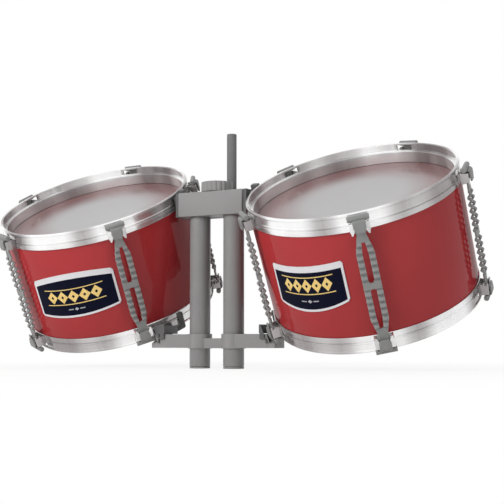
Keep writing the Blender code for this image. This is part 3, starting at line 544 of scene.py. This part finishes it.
def drum_axes(side):
    """A drum's axis, and the two directions across it: level towards +X, and up the slope."""
    tilt, toe = math.radians(28.0), math.radians(1.84)
    lean = Vector((-SIDES[side] * math.sin(toe), -math.cos(toe), 0))
    axis = math.sin(tilt) * lean + math.cos(tilt) * Vector((0, 0, 1))
    level = lean.cross(axis).normalized()
    if level.x < 0:
        level.negate()
    return axis, level, axis.cross(level)


def rim_centre(side):
    return Vector((SIDES[side] * 157.1 * MM, -7.0 * MM, 189.5 * MM))


def drum_place(side):
    """Drum space: the batter rim's centre at the origin, Z up the axis, X towards the front strap."""
    axis, level, slope = drum_axes(side)
    turn = FRONT_LUG[side]
    forward = math.cos(turn) * level + math.sin(turn) * slope
    rows = Matrix((forward, axis.cross(forward), axis)).transposed().to_4x4()
    return Matrix.Translation(rim_centre(side)) @ rows


def turned_over():
    """Drum space for the resonant end."""
    return Matrix.Translation((0, 0, -sizes().drum_height)) @ Matrix.Rotation(math.pi, 4, "X")


def lug_turns():
    return [LUG_STEP * number for number in range(5)]


# Drums


class TOMS_OT_shells(bpy.types.Operator):
    """Make both shells"""

    bl_idname = "toms.shells"
    bl_label = "Shells"

    def execute(self, context):
        size = sizes()
        material = wrap_finish()
        outside, inside = size.shell_radius, size.shell_radius - size.shell_wall
        top = 0.9 * MM - size.hoop_height
        low = -size.drum_height - top
        for side in SIDES:
            profile = [(outside, top), (outside, low), (inside, low), (inside, top)]
            bm = turned(profile, size.round_steps, 0.4 * MM)
            piece(side + "_shell_wrap", bm, material, drum_place(side), nodes=[side + "_shell"])
        return {"FINISHED"}


def hoop_profile():
    size = sizes()
    rim = size.shell_radius + size.rim_overhang
    inside = rim - size.rim_wall
    ledge = size.shell_radius - 5.0 * MM
    lip = size.shell_radius + 0.3 * MM
    under = 2.7 * MM - size.hoop_height
    flange = size.shell_radius - 3.6 * MM
    foot = 0.3 * MM - size.head_drop
    waist = rim - 0.8 * MM
    return [
        (inside + 0.3 * MM, -0.3 * MM),
        (inside + 0.9 * MM, 0),
        (rim - 0.8 * MM, 0),
        (rim, -0.8 * MM),
        (rim, -2.0 * MM),
        (waist, -3.0 * MM),
        (waist, -9.2 * MM),
        (rim - 0.1 * MM, -9.8 * MM),
        (rim - 0.1 * MM, -10.7 * MM),
        (waist - 0.2 * MM, -11.2 * MM),
        (waist - 0.2 * MM, -11.6 * MM),
        (rim, -12.1 * MM),
        (rim, -size.hoop_height + 0.5 * MM),
        (rim - 0.5 * MM, -size.hoop_height),
        (lip, -size.hoop_height),
        (lip, under),
        (flange, under),
        (flange, foot),
        (ledge, foot),
        (ledge, -size.ledge_drop - 0.6 * MM),
        (ledge + 0.6 * MM, -size.ledge_drop),
        (inside, -size.ledge_drop + 0.3 * MM),
    ]


UPRIGHT = Matrix(((0, 0, 1, 0), (1, 0, 0, 0), (0, 1, 0, 0), (0, 0, 0, 1)))
CHEEK_UPRIGHT = Matrix(((1, 0, 0, 0), (0, 0, -1, 0), (0, 1, 0, 0), (0, 0, 0, 1)))


def ear():
    """The pocket that stands out from the hoop: an outer wall with two points, and two cheeks."""
    size = sizes()
    inner = size.shell_radius + 9.6 * MM
    outer = inner + size.ear_wall
    half = size.ear_width / 2
    pocket = half - size.ear_wall
    top = -6.5 * MM
    right = [
        (half - 0.05 * MM, top - 0.05 * MM), (half - 0.05 * MM, -11.5 * MM), (half - 0.9 * MM, -18.3 * MM),
        (half - 2.3 * MM, -18.3 * MM), (half - 5.1 * MM, -13.2 * MM),
    ]
    outline = [(-across, height) for across, height in reversed(right)] + right
    wall = moved(slab(outline, inner + 0.05 * MM, outer - 0.05 * MM, 0.4 * MM), UPRIGHT)
    root = size.shell_radius + 0.9 * MM
    cheek = [
        (root, top), (outer - 0.1 * MM, top), (outer - 0.1 * MM, -15.0 * MM),
        (outer - 3.0 * MM, -16.6 * MM), (root, -17.2 * MM),
    ]
    cheeks = [
        moved(slab(cheek, low, high, 0.35 * MM), CHEEK_UPRIGHT) for low, high in ((-half, -pocket), (pocket, half))
    ]
    return wall, cheeks


class TOMS_OT_hoops(bpy.types.Operator):
    """Make the four hoops with their ears"""

    bl_idname = "toms.hoops"
    bl_label = "Hoops"

    def execute(self, context):
        size = sizes()
        material = hoop_finish()
        ring = turned(hoop_profile(), size.round_steps, 0.25 * MM)
        opening = boxed((99.5 * MM, -9.3 * MM, -7.4 * MM), (110.0 * MM, 9.3 * MM, -1.9 * MM), 0.4 * MM)
        wall, cheeks = ear()
        steps = [("DIFFERENCE", turned_copies(opening, lug_turns()))]
        steps += [("UNION", turned_copies(cheek, lug_turns())) for cheek in cheeks]
        steps.append(("UNION", turned_copies(wall, lug_turns())))
        bm = carved(ring, steps)
        for side in SIDES:
            for end, local in (("batter", Matrix()), ("resonant", turned_over())):
                name = side + "_" + end + "_hoop"
                piece(name + "_silvered", bm.copy(), material, drum_place(side) @ local, nodes=[name])
        bm.free()
        return {"FINISHED"}


class TOMS_OT_heads(bpy.types.Operator):
    """Make the four heads"""

    bl_idname = "toms.heads"
    bl_label = "Heads"

    def execute(self, context):
        size = sizes()
        material = film_finish()
        outside = size.shell_radius - 0.3 * MM
        film, seat = -size.head_drop, 1.2 * MM - size.hoop_height
        collar = size.shell_radius - size.shell_wall - 0.3 * MM
        profile = [
            (0, film), (collar - 0.6 * MM, film), (collar - 0.6 * MM, seat + 1.2 * MM), (outside, seat + 1.2 * MM),
            (outside, seat), (collar, seat), (collar, film - 0.6 * MM), (0, film - 0.6 * MM),
        ]
        for side in SIDES:
            for end, local in (("batter", Matrix()), ("resonant", turned_over())):
                name = side + "_" + end + "_head"
                bm = turned(profile, size.round_steps, 0.15 * MM, open_ends=True)
                piece(name + "_film", bm, material, drum_place(side) @ local, nodes=[name])
        return {"FINISHED"}


HOOK_LENGTH = 16.0 * MM
TAB_HALF = 6.0 * MM
NECK_HALF = 4.4 * MM
SLOT_START = -27.0 * MM
LINK_HEIGHT = 6.5 * MM
SLOT_HALF = 2.75 * MM
WAVES = 6


def smooth(share):
    share = max(0.0, min(1.0, share))
    return share * share * (3 - 2 * share)


def strap_path(share):
    """The strap's middle, from the tip of its upper hook (0) to its waist (1).

    Gives the radius, the height, the half width, half the slot and how far the legs bow.
    """
    size = sizes()
    inside, outside = size.shell_radius + 8.3 * MM, size.shell_radius + 12.7 * MM
    curl = (outside - inside) / 2
    curl_height = -7.1 * MM
    drop = HOOK_LENGTH + curl_height
    arc = math.pi * curl
    run = size.drum_height / 2 + curl_height
    along = share * (drop + arc + run)
    if along < drop:
        half = TAB_HALF * (0.70 + 0.30 * smooth(along / (5.5 * MM)))
        return outside, -HOOK_LENGTH + along, half, 0.0, 0.0
    if along < drop + arc:
        turn = (along - drop) / curl
        middle = (inside + outside) / 2
        return middle + curl * math.cos(turn), curl_height + curl * math.sin(turn), TAB_HALF, 0.0, 0.0
    height = curl_height - (along - drop - arc)
    half = TAB_HALF + (NECK_HALF - TAB_HALF) * smooth((-14.5 * MM - height) / (4.0 * MM))
    if height < -19.0 * MM:
        half = NECK_HALF + (size.strap_width / 2 - NECK_HALF) * min(1.0, (-19.0 * MM - height) / (18.0 * MM))
    end = -size.drum_height / 2 + LINK_HEIGHT / 2
    slot, wave = 0.0, 0.0
    if end < height < SLOT_START:
        part = (height - SLOT_START) / (end - SLOT_START)
        opening = min(1.0, 0.35 + 0.65 * (SLOT_START - height) / (11.0 * MM), (height - end) / (1.5 * MM))
        slot = SLOT_HALF * math.sqrt(max(opening, 0.05))
        wave = size.strap_wave * math.sin(math.tau * WAVES * part)
    return inside, height, half, slot, wave


def strap():
    """A strap bent along its path, its slots opened, given its thickness, with a bar across each hook."""
    size = sizes()
    rows = 126
    bm = bmesh.new()
    bmesh.ops.create_grid(bm, x_segments=6, y_segments=rows, size=0.5)
    gone = [
        face for face in bm.faces
        if abs(face.calc_center_median().x) < 0.17 and strap_path(face.calc_center_median().y + 0.5)[3] > 0
    ]
    bmesh.ops.delete(bm, geom=gone, context="FACES")
    for vert in bm.verts:
        radius, height, half, slot, wave = strap_path(vert.co.y + 0.5)
        column = round(vert.co.x * 6)
        across = half * column / 3
        if slot > 0 and column:
            across = math.copysign(slot + (half - slot) * (abs(column) - 1) / 2, column)
        vert.co = (radius + wave, across, height)
    lower = bmesh.ops.duplicate(bm, geom=bm.verts[:] + bm.edges[:] + bm.faces[:])["geom"]
    for vert in [item for item in lower if isinstance(item, bmesh.types.BMVert)]:
        vert.co.z = -size.drum_height - vert.co.z
    bmesh.ops.reverse_faces(bm, faces=[item for item in lower if isinstance(item, bmesh.types.BMFace)])
    bmesh.ops.remove_doubles(bm, verts=bm.verts, dist=0.00001)
    bmesh.ops.recalc_face_normals(bm, faces=bm.faces)
    for vert in bm.verts:
        vert.co += vert.normal * size.strap_thickness / 2
    bmesh.ops.solidify(bm, geom=bm.faces[:], thickness=size.strap_thickness)
    ease(bm, 0.28 * MM, 2, math.radians(50))
    middle = size.shell_radius + 7.9 * MM
    top = -0.3 * MM - size.bar_radius
    bars = []
    for height in (top, -size.drum_height - top):
        bar = turned([(size.bar_radius, -size.bar_width / 2), (size.bar_radius, size.bar_width / 2),
                      (0, size.bar_width / 2), (0, -size.bar_width / 2)], 32, 0.45 * MM)
        bars.append(moved(bar, Matrix.Translation((middle, 0, height)) @ Matrix.Rotation(math.pi / 2, 4, "X")))
    return gathered(bm, *bars)


class TOMS_OT_straps(bpy.types.Operator):
    """Make the ten tension straps"""

    bl_idname = "toms.straps"
    bl_label = "Straps"

    def execute(self, context):
        material = moulded_finish("strap_grey", colours().strap, 0.50)
        for side in SIDES:
            for number, turn in enumerate(lug_turns(), 1):
                name = side + "_strap_" + str(number)
                place = drum_place(side) @ Matrix.Rotation(turn, 4, "Z")
                piece(name + "_moulded", strap(), material, place, nodes=[name], angle=math.radians(50))
        return {"FINISHED"}


class TOMS_OT_badges(bpy.types.Operator):
    """Make the two plates stuck on the shells"""

    bl_idname = "toms.badges"
    bl_label = "Badges"

    def execute(self, context):
        size = sizes()
        radius = size.shell_radius + 0.3 * MM
        for side in SIDES:
            bm = bmesh.new()
            bmesh.ops.create_grid(bm, x_segments=48, y_segments=8, size=1.0)
            mark = bm.verts.layers.float_vector.new("plate")
            for vert in bm.verts:
                across, up = vert.co.x, vert.co.y
                bow = 1 - across * across
                corner = max(0.0, abs(across) * 24 - 23)
                height = up * (BADGE_HALF_HEIGHT - 2.2 * MM * (1 - math.sqrt(1 - corner * corner)))
                height += bow * (BADGE_TOP_BOW[side] * (1 + up) - BADGE_BOTTOM_BOW[side] * (1 - up)) / 2
                turn = BADGE_TURN[side] - LUG_STEP / 2 + BADGE_HALF_ANGLE[side] * across
                vert[mark] = (across, height, 0)
                level = BADGE_RAISED[side] - size.drum_height / 2 + BADGE_RISE[side] * across / 2 + height
                vert.co = (radius * math.cos(turn), radius * math.sin(turn), level)
            bmesh.ops.recalc_face_normals(bm, faces=bm.faces)
            bmesh.ops.solidify(bm, geom=bm.faces[:], thickness=-0.6 * MM)
            piece(
                side + "_badge_plate", bm, badge_finish(side), drum_place(side),
                nodes=[side + "_badge"],
            )
        return {"FINISHED"}


# Stand


def softened(node, width):
    """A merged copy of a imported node, its edges eased."""
    source = frame["nodes"][node]
    bm = bmesh.new()
    bm.from_mesh(source.data)
    bmesh.ops.transform(bm, matrix=source.matrix_world, verts=bm.verts)
    bmesh.ops.remove_doubles(bm, verts=bm.verts, dist=0.000002)
    bmesh.ops.dissolve_limit(bm, angle_limit=math.radians(1), verts=bm.verts, edges=bm.edges)
    return ease(bm, width, 3, math.radians(32))


class TOMS_OT_posts(bpy.types.Operator):
    """Make the two tubes and their end plugs"""

    bl_idname = "toms.posts"
    bl_label = "Posts"

    def execute(self, context):
        size = stand_sizes()
        material = metal_finish("post_grey", colours().post, 0.38, 0.0)
        radius, bore = size.post_diameter / 2, size.post_diameter / 2 - 1.5 * MM
        top = size.block_top - 4.3 * MM
        for side, sign in SIDES.items():
            place = Matrix.Translation((sign * size.post_spacing / 2, 0, 0))
            tube = turned([(radius, top), (radius, 2.3 * MM), (bore, 2.3 * MM), (bore, top)], 96, 0.3 * MM)
            piece(side + "_post_tube", tube, material, place, nodes=[side + "_post"])
            stem = bore - 0.3 * MM
            plug = turned(
                [(0, 12.0 * MM), (stem, 12.0 * MM), (stem, 2.0 * MM), (radius, 2.0 * MM), (radius, 0), (0, 0)],
                96, 0.4 * MM, open_ends=True,
            )
            piece(side + "_post_end", plug, material, place, nodes=[side + "_post_plug"])
        return {"FINISHED"}


class TOMS_OT_rod(bpy.types.Operator):
    """Make the cymbal rod"""

    bl_idname = "toms.rod"
    bl_label = "Rod"

    def execute(self, context):
        size = stand_sizes()
        radius, top = size.rod_radius, 253.3 * MM
        low = top - size.rod_length
        bm = turned([(0, top), (radius, top), (radius, low), (0, low)], 64, 0.9 * MM, open_ends=True)
        place = Matrix.Translation((4.45 * MM, 24.0 * MM, 0))
        material = metal_finish("rod_grey", colours().rod, 0.55, 0.0)
        piece("cymbal_rod_bar", bm, material, place, body="cymbal_rod", nodes=["cymbal_rod"])
        return {"FINISHED"}


class TOMS_OT_stand(bpy.types.Operator):
    """Make the block, knob, bracket and clips, and give the screws their finish"""

    bl_idname = "toms.stand"
    bl_label = "Stand"

    def execute(self, context):
        tints = colours()
        finishes = {
            "stand_grey": moulded_finish("stand_grey", tints.stand, 0.42, 0.03),
            "clip_grey": moulded_finish("clip_grey", tints.clip, 0.5),
            "screw_steel": metal_finish("screw_steel", tints.screw, 0.35, 1.0),
        }
        shaped = [
            ("mount_block", "stand_grey", STAND, 1.1), ("lower_bracket", "stand_grey", STAND, 0.7),
            ("clamp_knob", "stand_grey", "clamp_knob", 0.35),
        ]
        for side in SIDES:
            shaped.append((side + "_upper_clip", "clip_grey", STAND, 0.4))
            shaped.append((side + "_lower_clip", "clip_grey", STAND, 0.3))
        for node, slot, body, width in shaped:
            bm = softened(node, width * MM)
            piece(node + "_moulded", bm, finishes[slot], body=body, nodes=[node])
        slots = {row["node"]: row["material_slot"] for row in frame["record"]["subparts"]}
        for node, obj in frame["nodes"].items():
            if not obj.hide_render and slots[node] in finishes:
                obj.data.materials.clear()
                obj.data.materials.append(finishes[slots[node]])
        return {"FINISHED"}


# Stage


def backdrop_finish(name, level, keep):
    """White to the eye and to mirrors, with part of the surface's own shading kept for shadows."""
    material = bpy.data.materials.new(name)
    material.use_nodes = True
    nodes, links = material.node_tree.nodes, material.node_tree.links
    shader = nodes["Principled BSDF"]
    shader.inputs["Base Color"].default_value = (level, level, level, 1.0)
    shader.inputs["Roughness"].default_value = 0.9
    glow = nodes.new("ShaderNodeEmission")
    path = nodes.new("ShaderNodeLightPath")
    seen = nodes.new("ShaderNodeMath")
    seen.operation = "MAXIMUM"
    links.new(path.outputs["Is Camera Ray"], seen.inputs[0])
    also = nodes.new("ShaderNodeMath")
    also.operation = "MAXIMUM"
    links.new(path.outputs["Is Glossy Ray"], also.inputs[0])
    links.new(path.outputs["Is Transmission Ray"], also.inputs[1])
    links.new(also.outputs[0], seen.inputs[1])
    spot = nodes.new("ShaderNodeTexCoord")
    reach = nodes.new("ShaderNodeVectorMath")
    reach.operation = "LENGTH"
    links.new(spot.outputs["Object"], reach.inputs[0])
    white = nodes.new("ShaderNodeMapRange")
    white.interpolation_type = "SMOOTHSTEP"
    white.inputs["From Min"].default_value = 0.15
    white.inputs["From Max"].default_value = 0.60
    white.inputs["To Min"].default_value = 1.0 - keep
    white.inputs["To Max"].default_value = 1.0
    links.new(reach.outputs["Value"], white.inputs["Value"])
    share = nodes.new("ShaderNodeMath")
    share.operation = "MULTIPLY"
    links.new(white.outputs[0], share.inputs[1])
    links.new(seen.outputs[0], share.inputs[0])
    mix = nodes.new("ShaderNodeMixShader")
    links.new(share.outputs[0], mix.inputs[0])
    links.new(shader.outputs[0], mix.inputs[1])
    links.new(glow.outputs[0], mix.inputs[2])
    links.new(mix.outputs[0], nodes["Material Output"].inputs[0])
    return material


def lamp(name, place, aim, size, power, colour=(1.0, 1.0, 1.0)):
    data = bpy.data.lights.new(name, "AREA")
    data.shape = "RECTANGLE"
    data.size, data.size_y = size
    data.energy = power
    data.color = colour
    obj = bpy.data.objects.new(name, data)
    obj.location = place
    obj.rotation_euler = (Vector(aim) - Vector(place)).to_track_quat("-Z", "Y").to_euler()
    obj.visible_glossy = False
    bpy.context.scene.collection.objects.link(obj)
    return obj


class TOMS_OT_stage(bpy.types.Operator):
    """Make the floor, the light and the camera"""

    bl_idname = "toms.stage"
    bl_label = "Stage"

    def execute(self, context):
        look = context.scene.tom_stage
        floor_bm = bmesh.new()
        bmesh.ops.create_grid(floor_bm, x_segments=4, y_segments=4, size=6.0)
        mesh = bpy.data.meshes.new("floor")
        floor_bm.to_mesh(mesh)
        floor_bm.free()
        mesh.materials.append(backdrop_finish("floor_white", 1.0, 0.12))
        floor = bpy.data.objects.new("floor", mesh)
        floor.location.z = -0.0002
        context.scene.collection.objects.link(floor)

        world = bpy.data.worlds.new("studio")
        context.scene.world = world
        world.use_nodes = True
        nodes, links = world.node_tree.nodes, world.node_tree.links
        nodes.clear()
        path = nodes.new("ShaderNodeLightPath")
        seen = nodes.new("ShaderNodeMath")
        seen.operation = "MAXIMUM"
        links.new(path.outputs["Is Camera Ray"], seen.inputs[0])
        also = nodes.new("ShaderNodeMath")
        also.operation = "MAXIMUM"
        links.new(path.outputs["Is Glossy Ray"], also.inputs[0])
        links.new(path.outputs["Is Transmission Ray"], also.inputs[1])
        links.new(also.outputs[0], seen.inputs[1])
        level = nodes.new("ShaderNodeMapRange")
        level.inputs["To Min"].default_value = look.ambient
        level.inputs["To Max"].default_value = 1.0
        links.new(seen.outputs[0], level.inputs["Value"])
        back = nodes.new("ShaderNodeBackground")
        back.inputs["Color"].default_value = (1.0, 1.0, 1.0, 1.0)
        links.new(level.outputs[0], back.inputs["Strength"])
        out = nodes.new("ShaderNodeOutputWorld")
        links.new(back.outputs[0], out.inputs[0])

        aim = (0.0, 0.0, 0.13)
        lamp("key", (-0.55, -1.70, 0.85), aim, (0.9, 0.9), look.key_power)
        lamp("fill", (1.4, -0.5, 0.5), aim, (0.3, 1.1), look.fill_power)
        lamp("top", (0.0, 0.25, 1.5), aim, (1.2, 0.8), look.top_power)

        camera = bpy.data.cameras.new("camera")
        camera.sensor_width = 36.0
        camera.lens = 18.0 / math.tan(math.radians(26.428) / 2)
        obj = bpy.data.objects.new("camera", camera)
        obj.location = (0.5700, -0.9832, 0.0274)
        obj.rotation_euler = (math.radians(90 + 4.815), 0, math.radians(28.223))
        context.scene.collection.objects.link(obj)
        context.scene.camera = obj
        context.scene.view_settings.view_transform = "Standard"
        return {"FINISHED"}


class TOMS_PT_panel(bpy.types.Panel):
    """Lists the pieces and their sizes"""

    bl_label = "Toms"
    bl_idname = "TOMS_PT_panel"
    bl_space_type = "VIEW_3D"
    bl_region_type = "UI"
    bl_category = "Toms"

    def draw(self, context):
        layout = self.layout
        for operator in OPERATORS:
            layout.operator(operator.bl_idname)
        for group in (context.scene.tom_sizes, context.scene.tom_stand, context.scene.tom_colours, context.scene.tom_stage):
            column = layout.column(align=True)
            for name in group.__annotations__:
                column.prop(group, name)


GROUPS = {"tom_sizes": DrumSizes, "tom_stand": StandSizes, "tom_colours": Colours, "tom_stage": StageLook}
OPERATORS = (
    TOMS_OT_shells,
    TOMS_OT_hoops,
    TOMS_OT_heads,
    TOMS_OT_straps,
    TOMS_OT_badges,
    TOMS_OT_posts,
    TOMS_OT_rod,
    TOMS_OT_stand,
    TOMS_OT_stage,
)


def register():
    for kind in (*GROUPS.values(), *OPERATORS, TOMS_PT_panel):
        bpy.utils.register_class(kind)
    for name, kind in GROUPS.items():
        setattr(bpy.types.Scene, name, PointerProperty(type=kind))


def unregister():
    for name in GROUPS:
        delattr(bpy.types.Scene, name)
    for kind in reversed((*GROUPS.values(), *OPERATORS, TOMS_PT_panel)):
        bpy.utils.unregister_class(kind)


def main():
    register()
    bpy.ops.toms.shells()
    bpy.ops.toms.hoops()
    bpy.ops.toms.heads()
    bpy.ops.toms.straps()
    bpy.ops.toms.badges()
    bpy.ops.toms.posts()
    bpy.ops.toms.rod()
    bpy.ops.toms.stand()
    bpy.ops.toms.stage()


if __name__ == "__main__":
    main()
